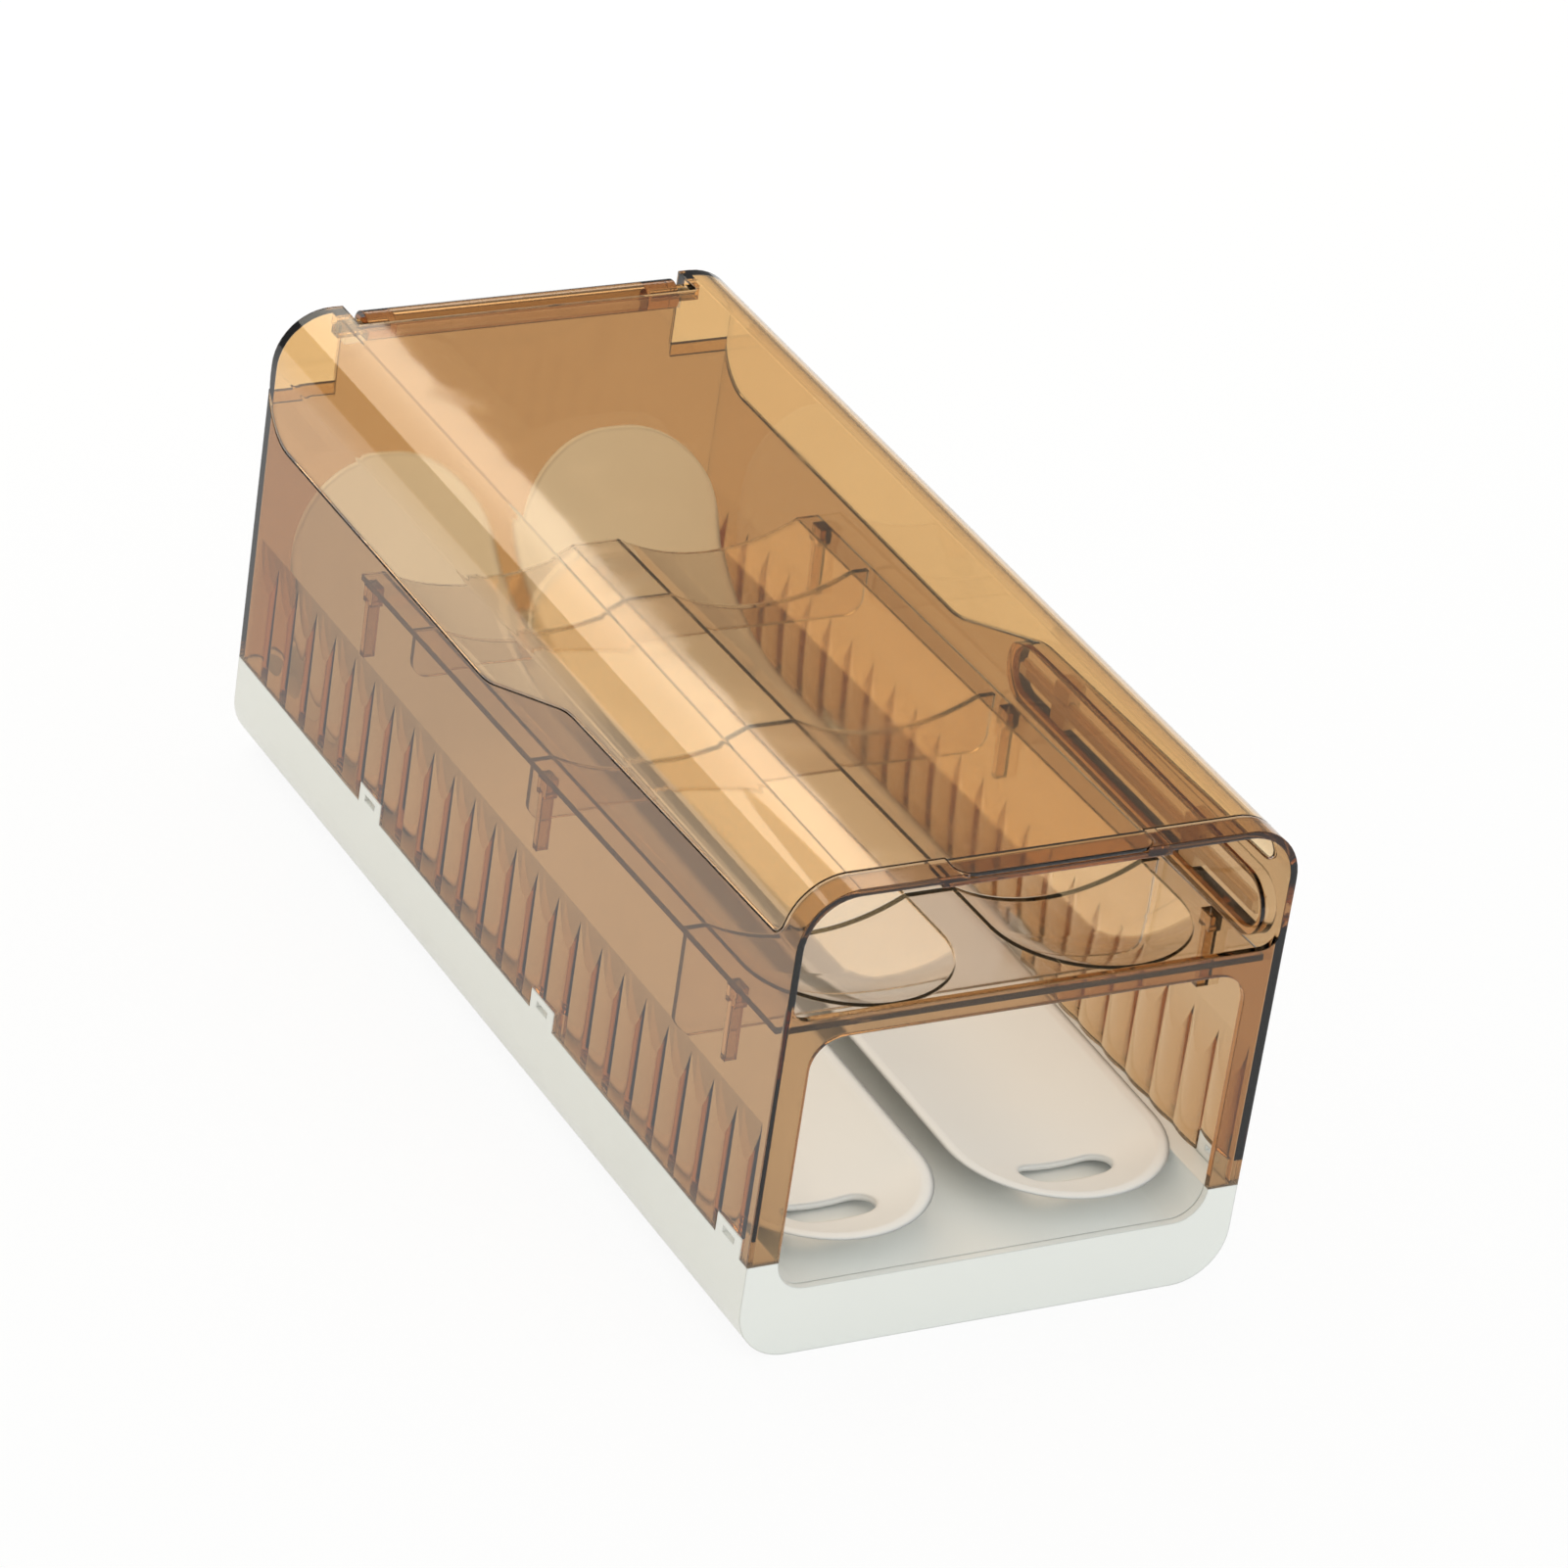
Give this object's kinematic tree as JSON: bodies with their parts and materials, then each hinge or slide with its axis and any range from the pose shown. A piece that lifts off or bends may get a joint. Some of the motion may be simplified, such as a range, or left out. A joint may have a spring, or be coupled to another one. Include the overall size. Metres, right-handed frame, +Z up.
{
  "type": "egg holder",
  "caption": "Rolling egg holder: white base with dished chutes turning up into scoops, clear amber housing with open front, sloping upper deck, hinged lid and sliding date markers.",
  "frame": {"origin": "centre of the base's underside, on the surface that the holder stands on", "axes": "+X across the lanes to the right when seen from the open front, +Y from the open front to the hinged back, +Z up"},
  "size_m": [0.16, 0.356, 0.153],
  "materials": {
    "amber_clear": "clear amber tint, polished",
    "lid_clear": "clear amber tint, polished",
    "deck_clear": "clear, faint amber tint, polished",
    "base_white": "satin white",
    "chute_white": "satin white",
    "marker_white": "satin white",
    "pin_steel": "plain"
  },
  "bodies": {
    "base": {"base_tray": "base_white", "base_liner": "base_white", "left_chute": "chute_white", "right_chute": "chute_white"},
    "housing": {"housing": "amber_clear", "upper_deck": "deck_clear", "hinge_strip": "marker_white", "date_rail": "marker_white"},
    "lid": {"lid": "lid_clear", "hinge_pin_left": "pin_steel", "hinge_pin_right": "pin_steel"},
    "rear_marker": {"date_slider_rear": "marker_white"},
    "front_marker": {"date_slider_front": "marker_white"}
  },
  "joints": [
    {"name": "housing_lift", "type": "slide", "parent": "base", "child": "housing", "axis": [0, 0, 1], "range_m": [0, 0.08]},
    {"name": "lid_hinge", "type": "hinge", "parent": "housing", "child": "lid", "pos_m": [0, 0.1725, 0.1475], "axis": [-1, 0, 0], "range_deg": [0, 100]},
    {"name": "rear_marker_slide", "type": "slide", "parent": "housing", "child": "rear_marker", "axis": [0, 1, 0], "range_m": [-0.035, 0.018]},
    {"name": "front_marker_slide", "type": "slide", "parent": "housing", "child": "front_marker", "axis": [0, 1, 0], "range_m": [-0.03, 0.032]}
  ]
}
